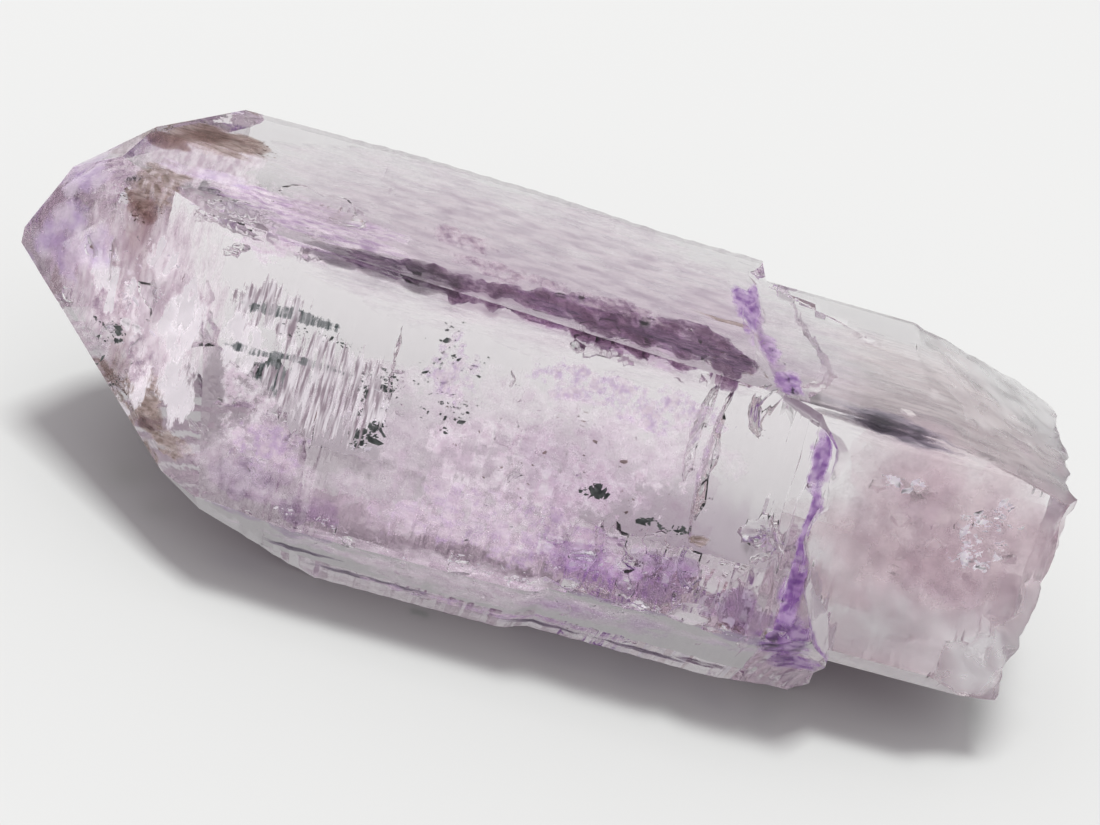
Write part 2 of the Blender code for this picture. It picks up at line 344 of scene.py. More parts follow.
def skin_mesh():
    """A finer copy of the solid's mesh, with striations.

    Its vertices say how matt they are, that they aren't a crack's, and which lie under the head.
    """
    bm = bmesh.new()
    bm.from_mesh(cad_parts["amethyst_crystal"].data)
    bmesh.ops.remove_doubles(bm, verts=bm.verts, dist=MERGE_REACH * MM)
    bmesh.ops.dissolve_degenerate(bm, edges=bm.edges, dist=MERGE_REACH * MM)
    bmesh.ops.dissolve_limit(bm, angle_limit=FLAT_ANGLE, verts=bm.verts, edges=bm.edges)
    layer = bm.faces.layers.int.new("kind")
    for face in bm.faces:
        face[layer] = kind_of(face.normal, local(face.calc_center_median()))
    rough = [
        e
        for e in bm.edges
        if e.calc_length() > ROUGH_EDGE * MM and all(f[layer] == ROUGH_KIND for f in e.link_faces)
    ]
    bmesh.ops.subdivide_edges(bm, edges=rough, cuts=1, use_grid_fill=True)
    places = steps(RING_FROM_X, SKIN_TO_X, RING_STEP)
    slice_faces(bm, lambda k: k < POINT_KIND, places, (1, 0, 0))
    places = steps(SKIN_FROM_X, POINT_TO_X, TIP_STEP)
    slice_faces(bm, lambda k: POINT_KIND <= k < ROUGH_KIND, places, (1, 0, 0))
    places = steps(-STRIP_REACH, STRIP_REACH, STRIP_STEP)
    for number, (turn, _, _, _) in enumerate(SIDES.values()):
        slice_faces(bm, lambda k: k in (number, POINT_KIND + number), places, radial(turn + 90.0))
    lift(bm)
    mark_creases(bm)
    bmesh.ops.triangulate(bm, faces=bm.faces)
    frost = bm.verts.layers.float.new("frost")
    solid = bm.verts.layers.float.new("solid")
    below = bm.verts.layers.float.new("below")
    under = {SIDE_NAMES.index("base"), SIDE_NAMES.index("low_back")}
    for vert in bm.verts:
        kinds = [f[layer] for f in vert.link_faces]
        place = local(vert.co)
        vert[solid] = 1.0
        vert[below] = float(place.x < STEM_FROM_X and under.issuperset(kinds))
        if min(kinds, default=0) >= ROUGH_KIND:
            vert[frost] = END_FROST if place.x > STEM_FROM_X else RIM_FROST
        elif place.x > STEM_FROM_X and max(kinds, default=0) < POINT_KIND:
            vert[frost] = STEM_FROST
    return bm


def crystal_material():
    """Clear quartz that takes a little light, matt by patches where the mesh is marked so."""
    material, tree, shader = new_material("clear_amethyst")
    shader.inputs["Base Color"].default_value = (*QUARTZ_FACE, 1.0)
    shader.inputs["IOR"].default_value = QUARTZ_IOR
    shader.inputs["Transmission Weight"].default_value = 1.0
    coords = add_node(tree, "ShaderNodeTexCoord")
    grain = add_node(tree, "ShaderNodeTexNoise")
    grain.inputs["Scale"].default_value = FROST_GRAIN
    grain.inputs["Detail"].default_value = 1.0
    patchy = add_node(tree, "ShaderNodeMapRange")
    patchy.inputs["From Min"].default_value = 0.35
    patchy.inputs["From Max"].default_value = 0.65
    patchy.inputs["To Min"].default_value = LEAST_FROST
    patchy.inputs["To Max"].default_value = MOST_FROST
    rough = add_node(tree, "ShaderNodeMath", operation="MULTIPLY")
    tree.links.new(coords.outputs["Object"], grain.inputs["Vector"])
    tree.links.new(grain.outputs["Fac"], patchy.inputs["Value"])
    tree.links.new(patchy.outputs["Result"], rough.inputs[0])
    tree.links.new(attribute(tree, "frost"), rough.inputs[1])
    tree.links.new(rough.outputs["Value"], shader.inputs["Roughness"])
    bump = add_node(tree, "ShaderNodeBump")
    bump.inputs["Strength"].default_value = 0.25
    bump.inputs["Distance"].default_value = BUMP_HEIGHT * MM
    fine = add_node(tree, "ShaderNodeTexNoise")
    fine.inputs["Scale"].default_value = BUMP_GRAIN
    fine.inputs["Detail"].default_value = 1.0
    tree.links.new(coords.outputs["Object"], fine.inputs["Vector"])
    tree.links.new(fine.outputs["Fac"], bump.inputs["Height"])
    tree.links.new(bump.outputs["Normal"], shader.inputs["Normal"])
    absorb(tree, QUARTZ_COLOUR, QUARTZ_DENSITY)
    geometry = add_node(tree, "ShaderNodeNewGeometry")
    entering = colour_mix(tree, attribute(tree, "below"), AHEAD_TINT, BELOW_TINT)
    tint = colour_mix(tree, geometry.outputs["Backfacing"], entering, LEAVING_TINT)
    tint = colour_mix(tree, attribute(tree, "solid"), (1.0, 1.0, 1.0), tint)
    let_lamps_through(tree, shader, tint)
    return material


def build_skin():
    """The clear skin, and a search tree of it that keeps the inclusions inside."""
    bm = skin_mesh()
    tree = BVHTree.FromBMesh(bm)
    add_cracks(bm, tree)
    mesh = bpy.data.meshes.new("crystal_skin")
    bm.to_mesh(mesh)
    bm.free()
    skin = link("crystal_skin", mesh)
    mesh.materials.append(crystal_material())
    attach(skin, "root")
    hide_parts("amethyst_crystal")
    return tree


# What lies inside

# How far veils and cracks, and coloured zones, stay under the skin at least
PATCH_MARGIN = 0.12
ZONE_MARGIN = 0.05
VEIL_THICKNESS = 0.04
# How far past one crossing of the skin the next is looked for
RAY_GAP = 1e-4
# Flecks: how many clumps a millimetre, and how long a fleck is for its size
CLUMPS = 0.9
FLECK_LENGTH = 1.7
# What lamp light keeps at a zone's surface
ZONE_TINT = (0.96, 0.93, 0.97)
# Between which values of their noise zones, veils and flecks go from one colour to the other
ZONE_NOISE = (0.40, 0.62)
VEIL_NOISE = (0.38, 0.60)
FLECK_NOISE = (0.35, 0.65)
# What is added to the noise in a veil's middle, so that it covers more there than at its border
MIDDLE_COVER = 0.4
# How often noise changes along x, y and z: evenly, drawn out along the crystal, or across it
EVEN = (1.0, 1.0, 1.0)
DRAWN = (0.5, 1.7, 1.7)
ALONG = (0.45, 2.4, 2.4)
LINES = (0.3, 2.6, 2.6)
UPRIGHT = (2.4, 0.7, 0.7)
ACROSS = (5.0, 0.5, 0.5)


def is_inside(tree, co):
    """Whether a line straight up from a point crosses the skin an odd number of times."""
    up = Vector((0.0, 0.0, 1.0))
    past = up * RAY_GAP * MM
    crossings = 0
    spot = tree.ray_cast(co, up)[0]
    while spot is not None:
        crossings += 1
        spot = tree.ray_cast(spot + past, up)[0]
    return crossings % 2 == 1


def keep_in(tree, co, margin):
    """The point itself, or the nearest one that lies this many millimetres under the skin."""
    spot, normal, _, _ = tree.find_nearest(co)
    if (spot - co).dot(normal) < margin * MM:
        return spot - normal * margin * MM
    if is_inside(tree, co):
        return co
    return spot + (spot - co).normalized() * margin * MM


def wobble(angle, seed, jag):
    """How far an uneven outline reaches at this angle, about 1."""
    spot = Vector((1.3 * math.cos(angle), 1.3 * math.sin(angle), seed))
    return 1.0 + jag * (noise.noise(spot) + 0.5 * noise.noise(spot * 3.1))


def patch(
    bm, tree, sheet, half, thick, seed, jag=0.5, bend=0.0, ripple=0.0, wave=0.5, grid=(8, 32)
):
    """Adds a closed lens with an uneven outline: half sizes, thickness, bend and ripples in mm."""
    fade = bm.verts.layers.float.get("fade") or bm.verts.layers.float.new("fade")
    rings, sectors = grid
    source = Vector((-1.2 * half[0], 0.6 * half[1], 0.0))
    up = sheet.to_3x3() @ Vector((0.0, 0.0, MM))

    def add(ring, sector, sign):
        share = ring / rings
        angle = 2.0 * math.pi * sector / sectors
        reach = share * wobble(angle, seed, jag)
        u, v = half[0] * reach * math.cos(angle), half[1] * reach * math.sin(angle)
        rise = bend * reach * reach
        rise += ripple * math.sin((Vector((u, v, 0.0)) - source).length * 2.0 * math.pi / wave)
        rise += 0.6 * ripple * noise.noise(Vector((u * 1.1, v * 1.1, seed + 3.0)))
        co = keep_in(tree, (sheet @ Vector((u, v, rise)) + AXIS) * MM, PATCH_MARGIN)
        side = 0.5 * sign * thick * math.sqrt(max(0.0, 1.0 - share * share))
        vert = bm.verts.new(co + up * side)
        vert[fade] = min(1.0, 2.0 * (1.0 - share))
        return vert

    border = [add(rings, s, 0.0) for s in range(sectors)]
    for sign in (1.0, -1.0):
        loops = [[add(r, s, sign) for s in range(sectors)] for r in range(1, rings)]
        loops.append(border)
        middle = add(0, 0, sign)
        for s in range(sectors):
            n = (s + 1) % sectors
            faces = [(middle, loops[0][s], loops[0][n])]
            for inner, outer in zip(loops, loops[1:]):
                faces.append((inner[s], outer[s], outer[n], inner[n]))
            for face in faces:
                bm.faces.new(face if sign > 0.0 else face[::-1]).smooth = True


def fleck(bm, rng, place, turned, size):
    """Adds a flat uneven double pyramid."""
    corners = rng.randint(4, 7)
    turn = rng.uniform(0.0, math.pi)
    border = []
    for i in range(corners):
        angle = turn + 2.0 * math.pi * (i + rng.uniform(-0.25, 0.25)) / corners
        reach = rng.uniform(0.5, 1.2)
        flat = Vector((size[0] * reach * math.cos(angle), size[1] * reach * math.sin(angle), 0.0))
        border.append(bm.verts.new(place + turned @ flat * MM))
    high = bm.verts.new(place + turned @ Vector((0.0, 0.0, size[2])) * MM)
    low = bm.verts.new(place - turned @ Vector((0.0, 0.0, size[2])) * MM)
    for one, other in zip(border, border[1:] + border[:1]):
        bm.faces.new((one, other, high))
        bm.faces.new((other, one, low))


def scatter(bm, rng, tree, sheet, half, count, size, flat=0.2, tumble=0.5):
    """Flecks over a sheet with these half sizes, in feathery clumps."""
    seed = rng.uniform(0.0, 90.0)
    made = 0
    while made < count:
        u, v = rng.uniform(-1.0, 1.0), rng.uniform(-1.0, 1.0)
        far = math.hypot(u, v)
        if far > 1.0:
            continue
        spot = Vector((u * half[0] * CLUMPS, v * half[1] * CLUMPS * 1.6, seed))
        dense = 0.35 + 1.7 * noise.noise(spot) + 1.0 * noise.noise(spot * 2.6) - 0.4 * far**3
        if rng.random() > dense:
            continue
        made += 1
        rise = 0.3 * noise.noise(Vector((u * 3.0, v * 3.0, seed))) + rng.gauss(0.0, 0.08)
        place = (sheet @ Vector((u * half[0], v * half[1], rise)) + AXIS) * MM
        scale = size * rng.lognormvariate(-0.2, 0.6)
        turned = sheet.to_3x3() @ Matrix.Rotation(rng.gauss(0.2, 0.5), 3, "Z")
        turned = turned @ Matrix.Rotation(rng.gauss(0.0, tumble), 3, "X")
        turned = turned @ Matrix.Rotation(rng.gauss(0.0, tumble), 3, "Y")
        wide = scale * rng.uniform(0.5, 1.1)
        place = keep_in(tree, place, 1.3 * scale * FLECK_LENGTH)
        fleck(bm, rng, place, turned, (scale * FLECK_LENGTH, wide, scale * flat))


def finish_piece(name, bm, material):
    mesh = bpy.data.meshes.new(name)
    bm.to_mesh(mesh)
    bm.free()
    mesh.materials.append(material)
    obj = link(name, mesh)
    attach(obj, "root")
    return obj


def noise_node(tree, per_mm, detail=3.0, rough=0.6, stretch=EVEN):
    """Noise with this many features a millimetre, drawn out along the crystal's directions."""
    coords = add_node(tree, "ShaderNodeTexCoord")
    mapping = add_node(tree, "ShaderNodeMapping")
    mapping.inputs["Scale"].default_value = [per_mm * s / MM for s in stretch]
    texture = add_node(tree, "ShaderNodeTexNoise")
    texture.inputs["Scale"].default_value = 1.0
    texture.inputs["Detail"].default_value = detail
    texture.inputs["Roughness"].default_value = rough
    tree.links.new(coords.outputs["Object"], mapping.inputs["Vector"])
    tree.links.new(mapping.outputs["Vector"], texture.inputs["Vector"])
    return texture


def colour_from(tree, texture, places, colours, shader):
    """Gives one colour under the first noise value, another over the last, and blends between."""
    ramp = add_node(tree, "ShaderNodeValToRGB")
    for element, place, colour in zip(ramp.color_ramp.elements, places, colours):
        element.position = place
        element.color = (*colour, 1.0)
    tree.links.new(texture.outputs["Fac"], ramp.inputs["Fac"])
    tree.links.new(ramp.outputs["Color"], shader.inputs["Base Color"])


def zone_material(name, colour, density, tint, per_mm=2.2):
    """A coloured zone of the same quartz: it bends no light and only takes some of it."""
    material, tree, shader = new_material(name)
    colours = ((1.0, 1.0, 1.0), tint)
    colour_from(tree, noise_node(tree, per_mm), ZONE_NOISE, colours, shader)
    shader.inputs["Roughness"].default_value = 0.0
    shader.inputs["IOR"].default_value = 1.0
    shader.inputs["Transmission Weight"].default_value = 1.0
    absorb(tree, colour, density)
    let_lamps_through(tree, shader, ZONE_TINT)
    return material


def light_level(material, tree, shader):
    """Fine grains catch the same light whichever way they lie, so they are lit as if level."""
    material.cycles.use_bump_map_correction = False
    level = add_node(tree, "ShaderNodeCombineXYZ")
    level.inputs["Z"].default_value = 1.0
    tree.links.new(level.outputs["Vector"], shader.inputs["Normal"])


def veil_material(name, colours, reach, top, per_mm, stretch=EVEN, through=0.3):
    """Fine inclusions on a sheet, which let a share of light through and thin out at its border."""
    material, tree, shader = new_material(name)
    light_level(material, tree, shader)
    grain = noise_node(tree, 1.9 * per_mm, detail=1.0, stretch=stretch)
    colour_from(tree, grain, VEIL_NOISE, colours, shader)
    spots = noise_node(tree, per_mm, detail=4.0, rough=0.72, stretch=stretch)
    total = add_node(tree, "ShaderNodeMath", operation="MULTIPLY_ADD")
    total.inputs[1].default_value = MIDDLE_COVER
    cover = add_node(tree, "ShaderNodeMapRange")
    cover.inputs["From Min"].default_value = reach[0]
    cover.inputs["From Max"].default_value = reach[1]
    cover.inputs["To Max"].default_value = top
    tree.links.new(attribute(tree, "fade"), total.inputs[0])
    tree.links.new(spots.outputs["Fac"], total.inputs[2])
    tree.links.new(total.outputs["Value"], cover.inputs["Value"])
    tree.links.new(cover.outputs["Result"], shader.inputs["Alpha"])
    shader.inputs["Roughness"].default_value = 0.5
    shader.inputs["IOR"].default_value = 1.1
    shader.inputs["Transmission Weight"].default_value = through
    return material


def fleck_material(name, colours, roughness):
    material, tree, shader = new_material(name)
    colour_from(tree, noise_node(tree, 3.0, detail=1.0), FLECK_NOISE, colours, shader)
    shader.inputs["Roughness"].default_value = roughness
    light_level(material, tree, shader)
    return material


def cloud(rng, tree, name, rows, material, blobs=14, rough=0.22, voxel=0.14):
    """Each row's space, filled with small blobs that are joined and roughened into one body."""
    bm = bmesh.new()
    from_axis = Matrix.Translation(AXIS * MM) @ Matrix.Scale(MM, 4)
    for x, y, z, turn, along, across, deep in rows:
        turned = from_axis @ frame_of(Vector((x, y, z)), turn)
        for _ in range(blobs):
            spot = Vector((rng.gauss(0, 1), rng.gauss(0, 1), rng.gauss(0, 1))).normalized()
            spot *= 0.72 * rng.random() ** 0.45
            share = rng.uniform(0.28, 0.5)
            size = [max(share * half, 1.5 * voxel) for half in (along, across, deep)]
            place = Matrix.Translation((spot.x * along, spot.y * across, spot.z * deep))
            shape = turned @ place @ Matrix.Diagonal((*size, 1.0))
            bmesh.ops.create_icosphere(bm, subdivisions=2, radius=1.0, matrix=shape)
    obj = finish_piece(name, bm, material)
    remesh = obj.modifiers.new("join", "REMESH")
    remesh.mode = "VOXEL"
    remesh.voxel_size = voxel * MM
    graph = bpy.context.evaluated_depsgraph_get()
    mesh = bpy.data.meshes.new_from_object(obj.evaluated_get(graph))
    obj.modifiers.clear()
    bm = bmesh.new()
    bm.from_mesh(mesh)
    bm.normal_update()
    for vert in bm.verts:
        spot = local(vert.co)
        rise = noise.noise(spot * 1.1) + 0.6 * noise.noise(spot * 2.7)
        vert.co = keep_in(tree, vert.co + vert.normal * rough * rise * MM, ZONE_MARGIN)
    for face in bm.faces:
        face.smooth = True
    bm.to_mesh(obj.data)
    bm.free()
    bpy.data.meshes.remove(mesh)


# Coloured zones: place (x, y, z), turn of the side they lie under, half sizes along, across, deep
RIDGE_ZONE = (
    (-5.2, -1.9, 6.55, 0, 2.8, 0.8, 0.22), (-1.6, -1.6, 6.45, 0, 2.8, 1.2, 0.28),
    (1.6, -1.4, 6.4, 0, 2.6, 1.5, 0.34), (4.4, -1.4, 6.4, 0, 2.4, 1.7, 0.38),
    (7.0, -1.5, 6.4, 0, 1.9, 1.6, 0.36), (3.6, -2.2, 6.55, 0, 4.6, 0.8, 0.22),
)
LOWER_ZONE = (
    (2.8, -7.2, -1.9, 60, 3.0, 1.2, 0.7), (6.6, -7.1, -1.7, 60, 2.4, 1.3, 0.8),
    (10.4, -7.4, -2.0, 60, 1.8, 1.2, 0.7), (-11.6, -6.6, -2.6, 60, 2.0, 1.3, 0.6),
    (-9.0, -7.2, -3.2, 60, 1.6, 0.8, 0.5),
)
RIM_PATH = (
    (11.7, -4.1, 5.7), (12.2, -5.2, 4.3), (12.5, -6.3, 2.4), (12.5, -7.3, 0.6),
    (12.5, -8.0, -1.2), (12.9, -8.0, -2.8), (13.8, -7.3, -4.2),
)
LOBE_PATH = ((8.0, 4.2, 6.4), (8.4, 2.6, 6.4), (8.9, 0.9, 6.4), (9.5, -0.9, 6.4), (10.4, -2.4, 6.3))
PALE_ZONE = (
    (-12.3, 0.3, 5.7, 0, 4.8, 2.0, 0.5), (-22.2, -0.5, 2.0, 60, 1.6, 1.3, 1.0),
    (1.5, -5.0, 1.0, 60, 8.0, 3.0, 1.2), (6.5, 2.0, 5.4, 0, 2.4, 2.4, 0.8),
    (5.5, -6.6, -1.2, 60, 6.0, 2.2, 1.0),
)
STEM_ZONE = (
    (17.0, -1.2, 1.4, 60, 4.6, 4.6, 3.6), (21.0, -1.2, 1.4, 60, 4.0, 4.6, 3.6),
)
BROWN_ZONE = (
    (-19.2, 2.8, 6.7, 0, 1.3, 1.2, 0.25), (-17.8, 3.8, 6.7, 0, 1.6, 1.2, 0.30),
    (-16.2, 4.4, 6.6, 0, 1.4, 0.9, 0.25), (-18.8, -0.6, 5.9, 30, 1.4, 1.1, 0.3),
    (-18.4, -2.8, -0.8, 60, 0.8, 2.0, 0.3), (-16.4, -4.6, -2.6, 60, 1.2, 1.2, 0.3),
)
SLATE_ZONE = (
    (-9.6, -2.3, 6.75, 0, 2.4, 0.8, 0.2), (-6.8, -2.2, 6.7, 0, 2.0, 0.9, 0.2),
    (14.6, -2.3, 5.85, 0, 3.0, 0.45, 0.12),
)


def chain(path, turn, half, step=0.5):
    """Zone rows along a path of points, this far apart."""
    rows = []
    for start, end in zip(path, path[1:]):
        start, end = Vector(start), Vector(end)
        count = math.ceil((end - start).length / step)
        rows += [(*start.lerp(end, i / count), turn, *half) for i in range(count)]
    return rows


def build_zones(tree):
    rng = random.Random(5)
    lilac, mauve, grey = (0.88, 0.78, 0.93), (0.94, 0.89, 0.93), (0.86, 0.82, 0.82)
    ridge = zone_material(
        "ridge_purple_zone", (0.42, 0.16, 0.38), 1900.0, (0.40, 0.27, 0.43), per_mm=2.8
    )
    purple = zone_material("purple_zone", (0.46, 0.20, 0.62), 420.0, lilac)
    deep = zone_material("deep_purple_zone", (0.50, 0.20, 0.62), 1100.0, lilac)
    pale = zone_material("lavender_zone", (0.56, 0.38, 0.54), 90.0, mauve)
    stem = zone_material("stem_zone", (0.52, 0.30, 0.37), 70.0, (0.94, 0.90, 0.92), per_mm=1.0)
    brown = zone_material("smoky_zone", (0.62, 0.48, 0.42), 3000.0, grey)
    slate = zone_material("slate_zone", (0.42, 0.38, 0.44), 3000.0, grey)
    cloud(rng, tree, "purple_ridge_zone", RIDGE_ZONE, ridge, rough=0.36, voxel=0.12)
    cloud(rng, tree, "purple_lower_zone", LOWER_ZONE, purple)
    rim = chain(RIM_PATH, 60.0, (0.5, 0.7, 0.55)) + chain(LOBE_PATH, 0.0, (0.85, 0.7, 0.35))
    cloud(rng, tree, "purple_rim_zone", rim, deep, blobs=3, rough=0.16, voxel=0.10)
    cloud(rng, tree, "lavender_zone", PALE_ZONE, pale)
    cloud(rng, tree, "milky_stem_zone", STEM_ZONE, stem, rough=0.3, voxel=0.3)
    cloud(rng, tree, "smoky_zone", BROWN_ZONE, brown, rough=0.12, voxel=0.12)
    cloud(rng, tree, "slate_zone", SLATE_ZONE, slate, rough=0.08, voxel=0.10)


# Veils: place, turn, pitch, roll, half sizes along and across, bend
HAZE_VEILS = (
    (-1.5, -4.9, 1.9, 60, 0, 2, 13.5, 4.2, 0.0), (0.0, -7.4, -4.2, 120, 0, 0, 12.0, 1.9, 0.0),
    (-4.0, -7.0, -1.4, 60, 0, 0, 7.0, 2.4, 0.0), (5.6, -5.1, 3.4, 60, 0, 0, 4.0, 2.4, 0.0),
    (0.0, -7.9, -3.6, 120, 0, 0, 13.5, 2.0, 0.0), (-11.6, -6.8, -1.6, 60, 0, 0, 4.0, 2.6, 0.0),
)
POINT_VEILS = (
    (-18.6, -2.5, 2.5, 66, -27, 0, 5.6, 4.8, 0.0), (-18.0, -1.5, 2.2, 66, -27, 0, 4.8, 4.2, 0.3),
    (-17.4, 1.8, 6.6, 0, 0, 0, 3.6, 3.0, 0.0),
)
TIP_VEILS = (
    (-22.4, -0.4, 2.7, 66, -27, 0, 2.0, 2.4, 0.0), (-20.6, -1.4, 3.4, 66, -27, 0, 1.4, 1.4, 0.1),
    (-16.9, 0.6, 6.8, 0, 0, 0, 2.6, 0.7, 0.1), (-22.2, 0.4, 5.4, -8, -34, 0, 2.2, 2.2, 0.0),
)
TOP_VEILS = (
    (-1.0, 1.6, 6.2, 0, 0, 2, 14.0, 6.4, 0.0),
)
MILK_VEILS = (
    (-13.5, 0.9, 5.0, 0, 4, 10, 3.6, 2.4, -0.3), (-12.6, -5.4, 0.6, 60, 8, 0, 2.6, 3.6, 0.3),
    (0.5, -5.4, 1.2, 60, -3, 4, 8.0, 3.0, 0.3), (4.5, -7.0, -1.4, 60, 3, 6, 7.5, 1.9, 0.2),
    (-7.6, -5.6, 1.3, 60, 0, 0, 1.0, 1.4, 0.1),
)
SHARD_VEILS = (
    (-20.2, -1.9, 2.5, 66, -27, 0, 1.2, 1.6, 0.1), (-18.4, -2.8, 1.9, 66, -24, 0, 1.4, 1.9, 0.1),
    (-16.0, -4.2, 2.5, 66, -20, 0, 1.5, 2.4, 0.1), (-17.7, -2.2, 4.3, 66, -27, 0, 1.2, 1.3, 0.1),
    (-15.6, -5.6, 0.0, 66, -27, 0, 1.5, 2.6, 0.1), (-17.3, -4.5, -0.6, 66, -30, 0, 1.2, 1.9, 0.1),
    (-13.4, -5.0, 3.1, 60, 0, 0, 1.4, 2.0, 0.1), (-19.6, -2.7, 2.1, 66, -27, 0, 0.35, 1.6, 0.1),
    (-18.5, -3.7, 1.4, 66, -27, 12, 1.2, 0.45, 0.2), (-16.0, -4.0, 3.6, 66, -27, 0, 0.9, 2.0, 0.1),
)
FEATHER_VEILS = (
    (-12.2, 0.3, 5.9, 0, 8, -12, 5.0, 2.0, 0.3), (-10.8, -0.9, 6.2, 0, 3, 8, 4.6, 1.1, 0.2),
    (-14.6, 0.4, 6.1, 0, -6, -4, 3.2, 1.4, 0.2), (-9.0, 0.2, 6.5, 0, 0, 0, 2.6, 0.9, 0.0),
)
COMB_VEILS = (
    (-12.6, -4.3, 4.6, 60, 0, 0, 3.0, 1.6, 0.0), (-9.5, -5.6, 2.2, 60, 0, 0, 5.0, 3.4, 0.0),
)
# Painted shade: dark green-grey sheets that stand for the shading under the comb's white lines
COMB_PAINTED_SHADES = (
    (-11.8, -4.3, 4.6, 60, 0, 0, 3.0, 0.42, 0.0), (-12.8, -5.2, 2.9, 60, 0, 0, 1.8, 0.3, 0.0),
    (-10.4, -5.1, 3.0, 60, 0, 0, 2.4, 0.25, 0.0), (-11.8, -5.4, 2.0, 60, 0, 0, 1.2, 0.9, 0.0),
)
STEM_VEILS = (
    (18.4, -4.2, 1.9, 60, 0, 0, 6.4, 4.4, 0.0), (18.8, -2.6, 0.9, 60, 6, 0, 6.2, 4.2, 0.3),
)
STEM_TOP_VEILS = (
    (18.4, 0.9, 5.4, 0, 0, 0, 7.2, 5.6, 0.0),
)
MAUVE_VEILS = (
    (0.0, -6.8, -1.6, 60, 0, 0, 9.0, 2.4, 0.2), (2.0, -1.2, 5.9, 0, 3, 0, 7.0, 1.9, 0.2),
    (-11.4, -6.6, -0.7, 60, 0, 0, 2.4, 1.5, 0.1), (7.0, -5.0, 3.4, 60, 78, 0, 1.2, 3.4, 0.5),
    (3.0, -4.2, 4.9, 60, 0, 0, 5.8, 1.6, 0.1), (0.0, -7.1, -6.1, 120, 0, 0, 11.0, 0.7, 0.0),
    (-4.4, -4.5, 4.3, 60, 0, 10, 1.5, 2.4, 0.1),
)
PLUM_VEILS = (
    (-5.6, 1.2, 6.8, 0, 0, 0, 2.6, 1.3, 0.1), (-3.0, -0.4, 6.8, 0, 0, 0, 3.6, 1.3, 0.1),
    (1.8, -0.6, 6.8, 0, 0, 0, 3.6, 1.2, 0.1), (-19.9, -2.6, 1.2, 66, -27, 0, 0.7, 1.5, 0.1),
    (-18.9, -2.9, 1.8, 66, -27, 0, 0.7, 0.8, 0.1), (-17.5, -4.3, 0.4, 66, -27, 0, 1.0, 1.6, 0.1),
)
VIOLET_VEILS = (
    (12.0, -4.8, 5.0, 60, 0, 0, 0.45, 1.3, 0.0), (12.3, -6.4, 2.5, 60, 0, 0, 0.35, 1.9, 0.0),
    (12.4, -7.9, -0.4, 60, 0, 0, 0.7, 1.8, 0.0), (12.8, -8.3, -2.5, 80, 0, 0, 1.5, 1.4, 0.0),
    (13.8, -7.2, -4.2, 110, 0, 0, 1.5, 1.1, 0.0), (8.1, 2.9, 6.6, 0, 0, 0, 1.0, 2.0, 0.0),
    (9.0, 0.7, 5.9, 0, 0, 0, 0.9, 1.4, 0.0), (10.2, -1.4, 5.9, 0, 0, 0, 0.8, 1.1, 0.0),
)
BROWN_VEILS = (
    (-17.8, 3.7, 6.8, 0, 0, 0, 2.9, 1.7, 0.0), (-17.6, 3.6, 6.4, 0, -2, 0, 2.6, 1.6, 0.1),
    (-18.8, -0.6, 6.3, 40, -20, 0, 1.5, 1.4, 0.0), (-17.0, -4.7, -1.2, 66, -27, 0, 1.8, 1.6, 0.1),
    (-15.3, -6.4, -2.2, 66, -27, 0, 1.4, 1.0, 0.1), (7.4, 1.0, 6.5, 0, 0, 0, 2.2, 0.22, 0.0),
    (7.9, -6.9, 0.6, 60, 20, 0, 0.7, 0.35, 0.1),
)
DARK_VEILS = (
    (4.4, -1.9, 6.75, 0, 0, 0, 3.8, 1.1, 0.05), (7.6, -2.2, 6.8, 0, 4, 0, 1.3, 1.0, 0.05),
    (-0.8, -2.2, 6.7, 0, 0, 0, 2.4, 0.7, 0.05), (-8.6, -2.3, 6.85, 0, 0, 0, 2.8, 0.8, 0.0),
    (10.2, -6.6, -6.3, 120, 0, 0, 1.9, 0.5, 0.0), (4.6, -6.4, -1.0, 60, 0, 0, 1.0, 0.4, 0.0),
)
SLATE_VEILS = (
    (-5.4, -7.1, -6.0, 120, 0, 0, 3.6, 0.35, 0.0), (-9.0, -7.8, -4.9, 120, 0, 0, 2.0, 0.3, 0.0),
    (2.6, -6.5, -6.7, 120, 0, 0, 2.6, 0.35, 0.0), (7.2, -6.5, -6.7, 120, 0, 0, 2.8, 0.35, 0.0),
    (15.2, -2.2, 5.7, 0, 0, 0, 3.0, 0.8, 0.0),
)
WHITE = (0.98, 0.96, 0.97)
PINK = (0.80, 0.70, 0.77)
LILAC = (0.60, 0.46, 0.66)
